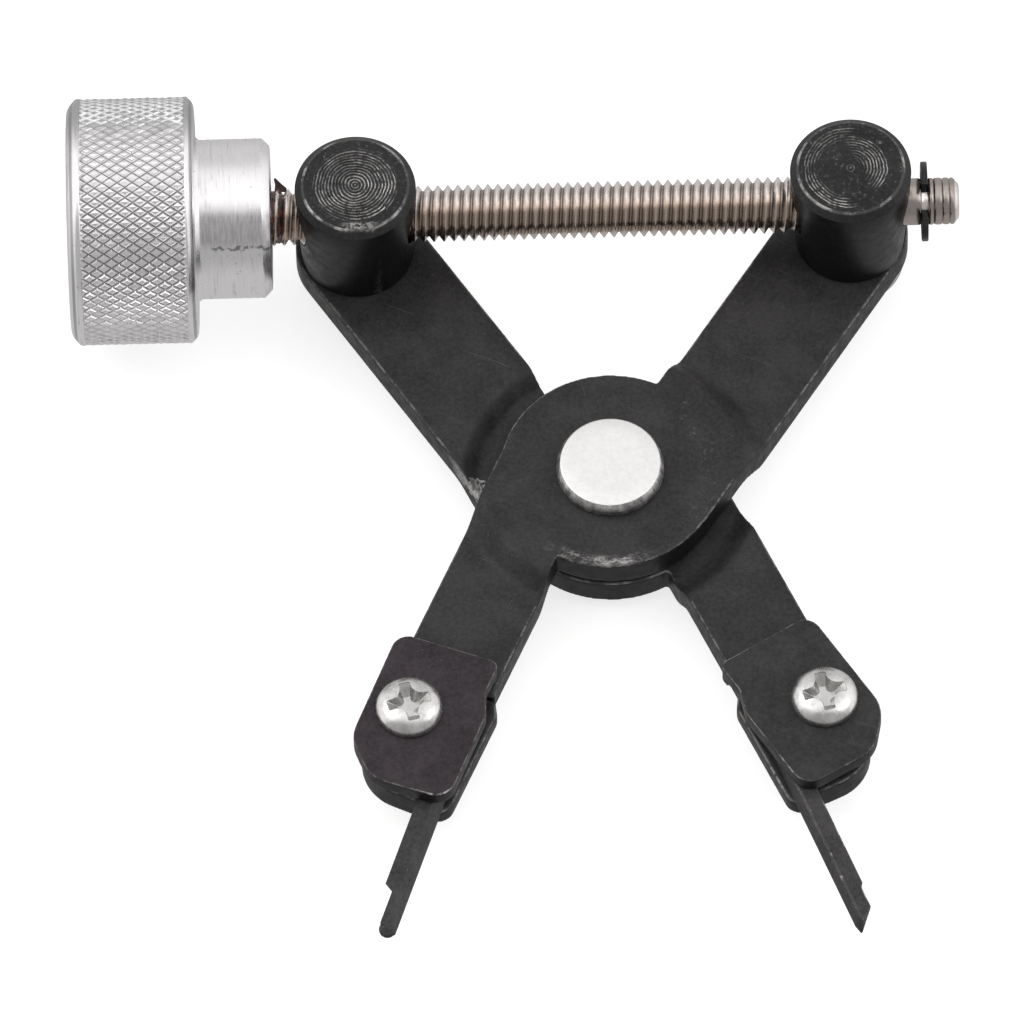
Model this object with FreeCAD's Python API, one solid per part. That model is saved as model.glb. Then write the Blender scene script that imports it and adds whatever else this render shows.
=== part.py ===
import FreeCAD, Part
import math
import os

# Adjustable two-claw opener for screwed watch case backs, in millimetres.
#
# Two crossed steel arms turn on a central rivet. A swivelling post stands on the
# upper end of each arm. A thumb screw runs through both posts: it is threaded into
# the left one and held endways in the right one, so turning it opens or closes the
# arms. A clamp plate on each lower end holds a small claw in a ledge of the arm.
#
# Frame: origin at the centre of the pivot rivet's underside, +X along the screw
# away from the knob, +Y from the claws towards the screw, +Z up through the posts.
# LEFT and RIGHT give the side of the +Y axis that a piece is on.

LEFT = -1
RIGHT = 1
UP = 1
DOWN = -1
AXIS_X = FreeCAD.Vector(1, 0, 0)
AXIS_Z = FreeCAD.Vector(0, 0, 1)
CENTRE = FreeCAD.Vector(0, 0, 0)

# Arm plates, with the two hub discs pressed apart so that they pass each other
PLATE_T = 2.3
HUB_GAP = 0.3
HUB_R = 7.7
JOGGLE_START_R = 9.25
JOGGLE_END_R = 10.65
UPPER_ANGLE = 33.4
UPPER_OUTER = {LEFT: 8.05, RIGHT: 7.75}
UPPER_WIDTH = 8.68
LOWER_ANGLE = 24.7
LOWER_OUTER = {LEFT: 7.6, RIGHT: 7.3}
LOWER_INNER = 0.68

# Head at the lower end of an arm, where a claw lies in a coined ledge
HEAD_END = 28.75
HEAD_CORNER_R = 3.6
LEDGE_START = 19.3
LEDGE_DEPTH = 0.8
LEDGE_INNER = -0.05
LEDGE_CORNER_R = 1.2
LEDGE_BLEND_R = 0.6

# Pivot rivet
RIVET_SHANK_R = 2.5
RIVET_HEAD_R = 3.75
RIVET_HEAD_T = 1.1
RIVET_CHAMFER = 0.2

# Swivelling posts
POST_X = 17.3
POST_Y = 19.15
POST_TOP_R = 4.25
POST_BASE_R = {LEFT: 3.95, RIGHT: 3.8}
POST_HEIGHT = {LEFT: 8.8, RIGHT: 9.45}
POST_CHAMFER = 0.55
POST_SHANK_R = 2.5
POST_BORE_HEIGHT = 4.6
POST_WASHER_R = 3.8
POST_WASHER_T = 0.5
PEEN_R = 3.1
PEEN_T = 0.5
PEEN_CHAMFER = 0.3

# Thumb screw, M4 by 0.7, with its end turned down for the right post
SCREW_R = 2.0
JOURNAL_R = 1.65
SHOULDER_X = 15.3
SCREW_START_X = -35.0
SCREW_END_X = 24.9
SCREW_END_CHAMFER = 0.45
GROOVE_X = 22.25
GROOVE_R = 1.25
CLIP_T = 0.45
CLIP_R = 2.8
CLIP_RING_R = 2.1
CLIP_MOUTH = 2.3
CLIP_LUG = 1.1
CLIP_MOUTH_TILT = -30.0
CLIP_LUG_TURNS = (55, 180, 305)

# Knob
KNOB_R = 8.65
KNOB_END_X = -37.4
KNOB_SHOULDER_X = -28.5
KNOB_HUB_R = 5.6
KNOB_HUB_END_X = -23.25
KNOB_CHAMFER = 0.7
KNOB_HUB_CHAMFER = 0.55
SEALANT_R = 2.3
SEALANT_LENGTH = 0.6

# Clamp plates and their screws; outline points are (along the arm, outwards) from the screw.
# The two last numbers of a screw head step are a share of its radius and a drop from its top.
CLAMP_SCREW_X = 14.35
CLAMP_SCREW_Y = -18.85
CLAMP_T = 1.25
CLAMP_LIFT = 0.4
CLAMP_HEEL = 1.0
CLAMP_ANGLES = {LEFT: 22.7, RIGHT: 33.0}
CLAMP_SHIFT = {LEFT: 0.2, RIGHT: -0.5}
CLAMP_ROOT_OUTER = (-5.6, 2.97)
CLAMP_ROOT_INNER = (-5.9, -4.5)
CLAMP_SHOULDER_TOP = (-3.4, -4.45)
CLAMP_SHOULDER_FOOT = (-1.6, -5.15)
CLAMP_NOSE_INNER = (5.5, -5.15)
CLAMP_NOSE_OUTER = (5.8, 0.55)
CLAMP_SIDE = (3.3, 2.97)
CLAMP_TIGHT_R = 0.6
CLAMP_ROOT_R = 1.2
CLAMP_NOSE_R = 2.5
CLAMP_HEEL_MARGIN = 2.0
CLAMP_SCREW_R = 1.25
CLAMP_HOLE_R = 1.4
CLAMP_HEAD_R = 2.35
CLAMP_HEAD_T = 1.3
CLAMP_HEAD_RIM = 0.45
RECESS_SPAN = 2.8
RECESS_WIDTH = 0.8
RECESS_DEPTH = 0.9
CLAMP_HEAD_BEND = (0.86, 0.28)
CLAMP_HEAD_CROWN = (0.55, 0.04)

# Claws: bars with a leaning section, so the underside sits nearer the pivot line
CLAW_X = {LEFT: 11.09, RIGHT: 10.55}
CLAW_Y = -18.85
CLAW_ANGLES = {LEFT: 19.4, RIGHT: 21.2}
CLAW_START = -1.4
CLAW_TOP_W = {LEFT: 1.1, RIGHT: 1.25}
CLAW_LEAN = {LEFT: 0.6, RIGHT: 0.42}
CLAW_T = 1.2
CLAW_CLEARANCE = 0.03
CLAW_SEAT_MARGIN = 1.0
ROUND_STEP = 14.0
ROUND_STEP_RUN = 0.4
ROUND_STEP_DEPTH = 0.62
ROUND_END = 17.05
ROUND_NOSE_R = 0.6
POINTED_STEP = 15.1
POINTED_STEP_DEPTH = 0.2
POINTED_SHOULDER = 17.0
POINTED_END = 17.85
POINTED_FLANK = 0.75
POINTED_UNDERCUT = 0.45

RUNNING_GAP = 0.05
TALL = 40.0
DRILL_DEPTH = 60.0
NEARLY_FULL = 0.999
TOUCHING = 1e-6

# Levels that follow from the sizes above
HUB_OFFSET = (PLATE_T + HUB_GAP) / 2
ARM_TOP = RIVET_HEAD_T + RUNNING_GAP + PLATE_T + HUB_OFFSET
ARM_BOTTOM = ARM_TOP - PLATE_T
LEDGE_TOP = ARM_TOP - LEDGE_DEPTH
SCREW_AXIS_Z = ARM_TOP + POST_BORE_HEIGHT
CLAMP_BOTTOM = ARM_TOP + CLAMP_LIFT
CLAMP_TOP = CLAMP_BOTTOM + CLAMP_T
HEAD_TOP = CLAMP_TOP + CLAMP_HEAD_T


def plan_point(side, up, angle_deg, along, outwards, start=CENTRE):
    """Point reached from start by a distance along a leaning line and one to its outer side."""
    angle = math.radians(angle_deg)
    x = along * math.sin(angle) + outwards * math.cos(angle)
    y = along * math.cos(angle) - outwards * math.sin(angle)
    return start + FreeCAD.Vector(side * x, up * y, 0)


def rounded_face(corners):
    """Flat face from (point, radius) corners; a radius of 0 leaves the corner sharp."""
    spans = []
    for index, (corner, radius) in enumerate(corners):
        before = (corners[index - 1][0] - corner).normalize()
        after = (corners[(index + 1) % len(corners)][0] - corner).normalize()
        half = before.getAngle(after) / 2
        if radius == 0:
            spans.append((corner, None, corner))
            continue
        reach = radius / math.tan(half)
        bisector = (before + after).normalize()
        middle = corner + bisector * (radius / math.sin(half) - radius)
        spans.append((corner + before * reach, middle, corner + after * reach))
    edges = []
    for index, (arc_start, middle, arc_end) in enumerate(spans):
        if middle is not None:
            edges.append(Part.Arc(arc_start, middle, arc_end).toShape())
        next_start = spans[(index + 1) % len(spans)][0]
        if arc_end.distanceToPoint(next_start) > TOUCHING:
            edges.append(Part.LineSegment(arc_end, next_start).toShape())
    return Part.Face(Part.Wire(edges))


def slab(face, low, high):
    """Solid between two levels with the plan of a flat face."""
    lifted = face.copy()
    lifted.translate(AXIS_Z * low)
    return lifted.extrude(AXIS_Z * (high - low))


def disc(radius, low, high, centre=CENTRE):
    """Upright cylinder between two levels."""
    return Part.makeCylinder(radius, high - low, centre + AXIS_Z * low)


def turned(profile, centre=CENTRE):
    """Solid of revolution about an upright axis, from (radius, level) points."""
    points = [centre + FreeCAD.Vector(radius, 0, level) for radius, level in profile]
    face = Part.Face(Part.makePolygon(points + points[:1]))
    return face.revolve(centre, AXIS_Z, 360)


def turned_on_screw(profile):
    """Solid of revolution about the thumb screw's axis, from (x, radius) points."""
    axis_point = FreeCAD.Vector(0, POST_Y, SCREW_AXIS_Z)
    points = [axis_point + FreeCAD.Vector(x, 0, radius) for x, radius in profile]
    face = Part.Face(Part.makePolygon(points + points[:1]))
    return face.revolve(axis_point, AXIS_X, 360)


def screw_bore(radius, start_x, end_x):
    """Drill along the thumb screw's axis."""
    start = FreeCAD.Vector(start_x, POST_Y, SCREW_AXIS_Z)
    return Part.makeCylinder(radius, end_x - start_x, start, AXIS_X)


def post_centre(side):
    return FreeCAD.Vector(side * POST_X, POST_Y, 0)


def clamp_centre(side):
    return FreeCAD.Vector(side * CLAMP_SCREW_X, CLAMP_SCREW_Y, 0)


def claw_point(side, along, outwards):
    """Point in a claw's own lines, which start beside the clamp screw."""
    start = FreeCAD.Vector(side * CLAW_X[side], CLAW_Y, 0)
    return plan_point(side, DOWN, CLAW_ANGLES[side], along, outwards, start)


def pressed_sheet(offset):
    """Round sheet whose middle is pressed up or down by an offset, ending flat outside."""
    middle = ARM_TOP + offset
    top = [(0, middle), (JOGGLE_START_R, middle), (JOGGLE_END_R, ARM_TOP), (TALL, ARM_TOP)]
    bottom = [(radius, level - PLATE_T) for radius, level in reversed(top)]
    return turned(top + bottom)


def arm_plan(post_side):
    """Plan of one arm: upper strip, hub disc, and lower strip with its head."""
    claw_side = -post_side
    upper_inner = UPPER_OUTER[post_side] - UPPER_WIDTH
    upper_outer = UPPER_OUTER[post_side]
    end_r = UPPER_WIDTH / 2
    reach = math.hypot(POST_X, POST_Y) + end_r
    upper = rounded_face([
        (plan_point(post_side, UP, UPPER_ANGLE, 0, upper_inner), 0),
        (plan_point(post_side, UP, UPPER_ANGLE, reach, upper_inner), end_r * NEARLY_FULL),
        (plan_point(post_side, UP, UPPER_ANGLE, reach, upper_outer), end_r * NEARLY_FULL),
        (plan_point(post_side, UP, UPPER_ANGLE, 0, upper_outer), 0),
    ])
    lower = rounded_face([
        (plan_point(claw_side, DOWN, LOWER_ANGLE, along, outwards), radius)
        for along, outwards, radius in (
            (0, LOWER_INNER, 0),
            (LEDGE_START - LEDGE_BLEND_R, LOWER_INNER, LEDGE_BLEND_R),
            (LEDGE_START + LEDGE_BLEND_R, LEDGE_INNER, LEDGE_BLEND_R),
            (HEAD_END, LEDGE_INNER, LEDGE_CORNER_R),
            (HEAD_END, LOWER_OUTER[claw_side], HEAD_CORNER_R),
            (0, LOWER_OUTER[claw_side], 0),
        )
    ])
    plan = disc(HUB_R, -TALL, TALL)
    for strip in (upper, lower):
        plan = plan.fuse(slab(strip, -TALL, TALL))
    return plan.removeSplitter()


def claw_seat(side):
    """Cutter that coins the ledge for a claw, open to the inner side and the end."""
    wall = CLAW_TOP_W[side] / 2 + CLAW_CLEARANCE
    corners = [
        claw_point(side, CLAW_START - CLAW_SEAT_MARGIN, wall),
        claw_point(side, TALL, wall),
        claw_point(side, TALL, -TALL),
        claw_point(side, CLAW_START - CLAW_SEAT_MARGIN, -TALL),
    ]
    return slab(rounded_face([(corner, 0) for corner in corners]), LEDGE_TOP, TALL)


def arm(post_side, offset):
    """One arm, with holes for the rivet, its post and its clamp screw."""
    claw_side = -post_side
    body = arm_plan(post_side).common(pressed_sheet(offset))
    body = body.cut(claw_seat(claw_side))
    hub_hole_r = RIVET_SHANK_R if offset > 0 else RIVET_SHANK_R + RUNNING_GAP
    body = body.cut(disc(hub_hole_r, -TALL, TALL))
    body = body.cut(disc(POST_SHANK_R + RUNNING_GAP, -TALL, TALL, post_centre(post_side)))
    body = body.cut(disc(CLAMP_SCREW_R, -TALL, TALL, clamp_centre(claw_side)))
    return body.removeSplitter()


def pivot_rivet():
    upper_face = ARM_TOP + HUB_OFFSET
    head_top = upper_face + RIVET_HEAD_T
    return turned([
        (0, 0),
        (RIVET_HEAD_R - RIVET_CHAMFER, 0),
        (RIVET_HEAD_R, RIVET_CHAMFER),
        (RIVET_HEAD_R, RIVET_HEAD_T),
        (RIVET_SHANK_R, RIVET_HEAD_T),
        (RIVET_SHANK_R, upper_face),
        (RIVET_HEAD_R, upper_face),
        (RIVET_HEAD_R, head_top - RIVET_CHAMFER),
        (RIVET_HEAD_R - 2 * RIVET_CHAMFER, head_top),
        (0, head_top),
    ])


def post_body(side):
    """Tapered post with a shank through the arm and a peened end under a washer."""
    base = ARM_TOP + RUNNING_GAP
    top = ARM_TOP + POST_HEIGHT[side]
    peen_top = ARM_BOTTOM - RUNNING_GAP - POST_WASHER_T
    peen_bottom = peen_top - PEEN_T
    profile = [
        (0, peen_bottom),
        (PEEN_R - PEEN_CHAMFER, peen_bottom),
        (PEEN_R, peen_bottom + PEEN_CHAMFER),
        (PEEN_R, peen_top),
        (POST_SHANK_R, peen_top),
        (POST_SHANK_R, base),
        (POST_BASE_R[side], base),
        (POST_TOP_R, top - POST_CHAMFER),
        (POST_TOP_R - POST_CHAMFER, top),
        (0, top),
    ]
    return turned(profile, post_centre(side))


def threaded_swivel_post():
    return post_body(LEFT).cut(screw_bore(SCREW_R + RUNNING_GAP, -DRILL_DEPTH, 0))


def plain_swivel_post():
    post = post_body(RIGHT).cut(screw_bore(JOURNAL_R + RUNNING_GAP, 0, DRILL_DEPTH))
    return post.cut(screw_bore(SCREW_R + RUNNING_GAP, 0, SHOULDER_X))


def post_washer(side):
    top = ARM_BOTTOM - RUNNING_GAP
    bottom = top - POST_WASHER_T
    centre = post_centre(side)
    return disc(POST_WASHER_R, bottom, top, centre).cut(disc(POST_SHANK_R, bottom, top, centre))


def lead_screw():
    shoulder = SHOULDER_X - RUNNING_GAP
    return turned_on_screw([
        (SCREW_START_X, 0),
        (SCREW_START_X, SCREW_R),
        (shoulder, SCREW_R),
        (shoulder, JOURNAL_R),
        (GROOVE_X, JOURNAL_R),
        (GROOVE_X, GROOVE_R),
        (GROOVE_X + CLIP_T, GROOVE_R),
        (GROOVE_X + CLIP_T, JOURNAL_R),
        (SCREW_END_X - SCREW_END_CHAMFER, JOURNAL_R),
        (SCREW_END_X, JOURNAL_R - SCREW_END_CHAMFER),
        (SCREW_END_X, 0),
    ])


def thumb_knob():
    blank = turned_on_screw([
        (KNOB_END_X, 0),
        (KNOB_END_X, KNOB_R - KNOB_CHAMFER),
        (KNOB_END_X + KNOB_CHAMFER, KNOB_R),
        (KNOB_SHOULDER_X - KNOB_CHAMFER, KNOB_R),
        (KNOB_SHOULDER_X, KNOB_R - KNOB_CHAMFER),
        (KNOB_SHOULDER_X, KNOB_HUB_R),
        (KNOB_HUB_END_X - KNOB_HUB_CHAMFER, KNOB_HUB_R),
        (KNOB_HUB_END_X, KNOB_HUB_R - KNOB_HUB_CHAMFER),
        (KNOB_HUB_END_X, 0),
    ])
    return blank.cut(screw_bore(SCREW_R, SCREW_START_X, 0))


def retaining_clip():
    """E-shaped spring clip: an open ring with three lugs that grip the screw's groove."""
    end_x = GROOVE_X + CLIP_T
    ring = screw_bore(CLIP_R, GROOVE_X, end_x).cut(screw_bore(CLIP_RING_R, GROOVE_X, end_x))
    mouth = Part.makeBox(CLIP_T, CLIP_MOUTH, CLIP_R, FreeCAD.Vector(GROOVE_X, -CLIP_MOUTH / 2, 0))
    mouth.translate(FreeCAD.Vector(0, POST_Y, SCREW_AXIS_Z))
    clip = ring.cut(mouth)
    axis_point = FreeCAD.Vector(0, POST_Y, SCREW_AXIS_Z)
    lug_corner = FreeCAD.Vector(GROOVE_X, -CLIP_LUG / 2, 0)
    lug_reach = (CLIP_RING_R + CLIP_R) / 2
    for turn in CLIP_LUG_TURNS:
        lug = Part.makeBox(CLIP_T, CLIP_LUG, lug_reach, lug_corner)
        lug.translate(axis_point)
        lug.rotate(axis_point, AXIS_X, turn)
        clip = clip.fuse(lug)
    clip = clip.cut(screw_bore(GROOVE_R, GROOVE_X, end_x)).removeSplitter()
    clip.rotate(axis_point, AXIS_X, -CLIP_MOUTH_TILT)
    return clip


def thread_sealant():
    """Ring of dried thread sealant where the screw leaves the knob."""
    start = KNOB_HUB_END_X
    end = start + SEALANT_LENGTH
    return screw_bore(SEALANT_R, start, end).cut(screw_bore(SCREW_R, start, end))


def clamp_plate(side):
    """Clamp plate that bridges from its heel on the arm to its nose on the claw."""
    centre = clamp_centre(side)

    def corner(place, radius):
        along = place[0] + CLAMP_SHIFT[side]
        return (plan_point(side, DOWN, CLAMP_ANGLES[side], along, place[1], centre), radius)

    outline = [
        corner(CLAMP_ROOT_OUTER, CLAMP_ROOT_R),
        corner(CLAMP_ROOT_INNER, CLAMP_TIGHT_R),
        corner(CLAMP_SHOULDER_TOP, CLAMP_TIGHT_R),
        corner(CLAMP_SHOULDER_FOOT, CLAMP_TIGHT_R),
        corner(CLAMP_NOSE_INNER, CLAMP_TIGHT_R),
        corner(CLAMP_NOSE_OUTER, CLAMP_NOSE_R),
        corner(CLAMP_SIDE, CLAMP_NOSE_R),
    ]
    plate = slab(rounded_face(outline), CLAMP_BOTTOM, CLAMP_TOP)
    outer_along, outer_side = CLAMP_ROOT_OUTER[0], CLAMP_ROOT_OUTER[1] + CLAMP_HEEL_MARGIN
    inner_along, inner_side = CLAMP_ROOT_INNER[0], CLAMP_ROOT_INNER[1] - CLAMP_HEEL_MARGIN
    heel_zone = rounded_face([
        corner((outer_along - CLAMP_HEEL_MARGIN, outer_side), 0),
        corner((inner_along - CLAMP_HEEL_MARGIN, inner_side), 0),
        corner((inner_along + CLAMP_HEEL, inner_side), 0),
        corner((outer_along + CLAMP_HEEL, outer_side), 0),
    ])
    heel = slab(rounded_face(outline), ARM_TOP, CLAMP_BOTTOM)
    heel = heel.common(slab(heel_zone, ARM_TOP, CLAMP_BOTTOM))
    hole = disc(CLAMP_HOLE_R, -TALL, TALL, centre)
    return plate.fuse(heel).cut(hole).removeSplitter()


def clamp_screw(side):
    """Pan-head screw with a cross recess, threaded into the arm."""
    centre = clamp_centre(side)
    body = turned([
        (0, ARM_BOTTOM),
        (CLAMP_SCREW_R, ARM_BOTTOM),
        (CLAMP_SCREW_R, CLAMP_TOP),
        (CLAMP_HEAD_R, CLAMP_TOP),
        (CLAMP_HEAD_R, CLAMP_TOP + CLAMP_HEAD_RIM),
        (CLAMP_HEAD_R * CLAMP_HEAD_BEND[0], HEAD_TOP - CLAMP_HEAD_BEND[1]),
        (CLAMP_HEAD_R * CLAMP_HEAD_CROWN[0], HEAD_TOP - CLAMP_HEAD_CROWN[1]),
        (0, HEAD_TOP),
    ], centre)
    slot_low = HEAD_TOP - RECESS_DEPTH
    corner = centre + FreeCAD.Vector(-RECESS_SPAN / 2, -RECESS_WIDTH / 2, slot_low)
    slot = Part.makeBox(RECESS_SPAN, RECESS_WIDTH, RECESS_DEPTH, corner)
    cross = slot.copy()
    cross.rotate(centre, AXIS_Z, 90)
    return body.cut(slot.fuse(cross))


def leaning_bar(side, top_outline, bottom_outline):
    """Claw solid from (along, outwards) points; its underside is shifted inwards by the lean."""
    top_z = CLAMP_BOTTOM - CLAW_CLEARANCE / 2
    bottom_z = top_z - CLAW_T + CLAW_CLEARANCE
    wires = []
    for outline, level, lean in ((bottom_outline, bottom_z, CLAW_LEAN[side]), (top_outline, top_z, 0)):
        points = [claw_point(side, along, outwards - lean) for along, outwards in outline]
        points = [point + AXIS_Z * level for point in points]
        wires.append(Part.makePolygon(points + points[:1]))
    return Part.makeLoft(wires, True, True)


def left_claw():
    """Claw with a thinned tongue and a round nose."""
    half = CLAW_TOP_W[LEFT] / 2
    tongue = half - ROUND_STEP_DEPTH
    outline = [
        (CLAW_START, half),
        (ROUND_STEP, half),
        (ROUND_STEP + ROUND_STEP_RUN, tongue),
        (ROUND_END, tongue),
        (ROUND_END, -half),
        (CLAW_START, -half),
    ]
    nose_centre = claw_point(LEFT, ROUND_END, (tongue - half - CLAW_LEAN[LEFT]) / 2)
    nose_z = CLAMP_BOTTOM - CLAW_T / 2
    nose = Part.makeSphere(ROUND_NOSE_R, nose_centre + AXIS_Z * nose_z)
    return leaning_bar(LEFT, outline, outline).fuse(nose)


def right_claw():
    """Claw with a slightly thinned tongue, ground to an undercut, off-centre point."""
    half = CLAW_TOP_W[RIGHT] / 2
    tongue = half - POINTED_STEP_DEPTH

    def outline(overhang):
        return [
            (CLAW_START, half),
            (POINTED_STEP, half),
            (POINTED_STEP + POINTED_STEP_DEPTH, tongue),
            (POINTED_SHOULDER + overhang / 2, tongue),
            (POINTED_END + overhang, -half + POINTED_STEP_DEPTH),
            (POINTED_END + overhang - POINTED_FLANK, -half),
            (CLAW_START, -half),
        ]

    return leaning_bar(RIGHT, outline(0), outline(POINTED_UNDERCUT))


def main():
    parts = {
        "upper_arm": arm(RIGHT, HUB_OFFSET),
        "lower_arm": arm(LEFT, -HUB_OFFSET),
        "pivot_rivet": pivot_rivet(),
        "threaded_swivel_post": threaded_swivel_post(),
        "plain_swivel_post": plain_swivel_post(),
        "threaded_post_washer": post_washer(LEFT),
        "plain_post_washer": post_washer(RIGHT),
        "lead_screw": lead_screw(),
        "thumb_knob": thumb_knob(),
        "retaining_clip": retaining_clip(),
        "thread_sealant": thread_sealant(),
        "left_clamp_plate": clamp_plate(LEFT),
        "right_clamp_plate": clamp_plate(RIGHT),
        "left_clamp_screw": clamp_screw(LEFT),
        "right_clamp_screw": clamp_screw(RIGHT),
        "left_claw": left_claw(),
        "right_claw": right_claw(),
    }
    os.makedirs("parts", exist_ok=True)
    for name, shape in parts.items():
        shape.exportStep(f"parts/{name}.step")
        print(name, len(shape.Solids), shape.isValid(), round(shape.Volume, 2))


main()
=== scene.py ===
import math
import random

import bmesh
import bpy
from mathutils import Matrix, Vector


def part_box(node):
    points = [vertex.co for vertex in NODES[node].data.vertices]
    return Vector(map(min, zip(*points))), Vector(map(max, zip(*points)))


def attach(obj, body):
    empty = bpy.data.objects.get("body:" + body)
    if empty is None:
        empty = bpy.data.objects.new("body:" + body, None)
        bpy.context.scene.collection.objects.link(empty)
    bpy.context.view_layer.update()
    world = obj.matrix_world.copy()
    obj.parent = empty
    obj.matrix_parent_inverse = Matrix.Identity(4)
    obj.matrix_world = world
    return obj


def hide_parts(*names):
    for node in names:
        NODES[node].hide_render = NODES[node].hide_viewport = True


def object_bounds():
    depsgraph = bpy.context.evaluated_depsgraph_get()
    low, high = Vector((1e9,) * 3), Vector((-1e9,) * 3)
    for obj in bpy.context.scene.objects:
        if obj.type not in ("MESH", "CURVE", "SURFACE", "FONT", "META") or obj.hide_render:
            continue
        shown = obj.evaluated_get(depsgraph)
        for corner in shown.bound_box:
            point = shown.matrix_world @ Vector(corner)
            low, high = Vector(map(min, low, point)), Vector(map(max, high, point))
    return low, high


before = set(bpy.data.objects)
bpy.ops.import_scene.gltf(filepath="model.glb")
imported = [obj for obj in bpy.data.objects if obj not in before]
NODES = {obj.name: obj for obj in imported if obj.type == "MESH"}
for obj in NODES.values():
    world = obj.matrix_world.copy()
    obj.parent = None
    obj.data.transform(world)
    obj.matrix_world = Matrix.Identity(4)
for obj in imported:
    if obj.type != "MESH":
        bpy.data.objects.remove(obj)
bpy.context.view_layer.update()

# Places from the frame are in metres. Names and arguments that hold sizes of pieces are in mm.
MM = 0.001
Z_AXIS = Vector((0, 0, 1))


# ---- places from the CAD

def centre_of(node):
    low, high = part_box(node)
    return (low + high) / 2


def in_mm(length):
    """A CAD length in mm, to the hundredth it is drawn at."""
    return round(length / MM, 2)


RUNNING_GAP = 0.05
ARM_TOP = in_mm(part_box("lower_arm")[1].z)
HUB_TOP = in_mm(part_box("upper_arm")[1].z)
HUB_OFFSET = round(HUB_TOP - ARM_TOP, 2)
JOGGLE = (9.25, 10.65)
EASED_JOGGLE = (8.75, 11.15)

KNOB_LOW, KNOB_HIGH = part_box("thumb_knob")
SCREW_AXIS = Vector((0, (KNOB_LOW.y + KNOB_HIGH.y) / 2, (KNOB_LOW.z + KNOB_HIGH.z) / 2))
KNOB_END = in_mm(KNOB_LOW.x)
KNOB_SHOULDER = -28.5
HUB_END = in_mm(KNOB_HIGH.x)
GRIP_R = in_mm(KNOB_HIGH.z - KNOB_LOW.z) / 2 - 0.005

SCREW_LOW, SCREW_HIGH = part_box("lead_screw")
THREAD_R = in_mm(SCREW_HIGH.z - SCREW_LOW.z) / 2 - 0.01
THREAD_START, THREAD_END = -23.9, 15.25
SCREW_END = in_mm(SCREW_HIGH.x)
CLIP_START, CLIP_END = (in_mm(corner.x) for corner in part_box("retaining_clip"))

POST_RING_PITCH = 0.225


# ---- camera and stage

VIEW_ELEVATION, VIEW_ROLL = 60.12, -1.43
VIEW_DISTANCE = 1.2
VIEW_ASIDE, VIEW_DOWN = 0.00686, 0.00229
LENS = 605.4

FLOOR_GLOW = 0.74
SKY_TINT = (1.0, 0.985, 0.98)
SKY_STOPS = ((0.0, 0.42), (0.25, 0.44), (0.34, 0.66), (0.42, 1.25), (0.80, 1.05), (0.92, 0.66))
BELOW_HORIZON = 0.56
SOFTBOXES = (
    ("softbox_left", (-0.55, 0.15, 0.7), 0.5, 0.9),
    ("softbox_right", (0.6, -0.1, 0.6), 0.4, 0.5),
)


def make_camera():
    """Long lens from the near side, high up, turned a little about its own axis."""
    elevation = math.radians(VIEW_ELEVATION)
    roll = math.radians(VIEW_ROLL)
    back = Vector((0, -math.cos(elevation), math.sin(elevation)))
    right = Vector((1, 0, 0))
    up = back.cross(right)
    tilted_right = right * math.cos(roll) + up * math.sin(roll)
    tilted_up = up * math.cos(roll) - right * math.sin(roll)
    target = Vector((0, 0, ARM_TOP * MM))
    place = target + back * VIEW_DISTANCE - tilted_right * VIEW_ASIDE - tilted_up * VIEW_DOWN
    data = bpy.data.cameras.new("camera")
    data.lens = LENS
    data.clip_end = 10.0
    camera = bpy.data.objects.new("camera", data)
    turn = Matrix((tilted_right, tilted_up, back)).transposed()
    camera.matrix_world = Matrix.Translation(place) @ turn.to_4x4()
    bpy.context.collection.objects.link(camera)
    bpy.context.scene.camera = camera


def make_floor():
    """Pale glowing floor just under the object, which glossy surfaces do not mirror."""
    mesh = bpy.data.meshes.new("floor")
    reach = 1.5
    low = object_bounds()[0].z - 0.05 * MM
    corners = [(x * reach, y * reach, low) for x, y in ((-1, -1), (1, -1), (1, 1), (-1, 1))]
    mesh.from_pydata(corners, [], [(0, 1, 2, 3)])
    floor = bpy.data.objects.new("floor", mesh)
    bpy.context.collection.objects.link(floor)
    material = bpy.data.materials.new("floor_white")
    material.use_nodes = True
    shader = material.node_tree.nodes["Principled BSDF"]
    for name, value in (
        ("Base Color", (0.5, 0.5, 0.5, 1)), ("Roughness", 0.9), ("Specular IOR Level", 0.0),
        ("Emission Color", (1, 1, 1, 1)), ("Emission Strength", FLOOR_GLOW),
    ):
        shader.inputs[name].default_value = value
    mesh.materials.append(material)
    floor.visible_glossy = False


def shade_of(value):
    return tuple(value * part for part in SKY_TINT) + (1,)


def map_range(nodes, low, high):
    node = nodes.new("ShaderNodeMapRange")
    node.inputs["From Min"].default_value = low
    node.inputs["From Max"].default_value = high
    return node


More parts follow.
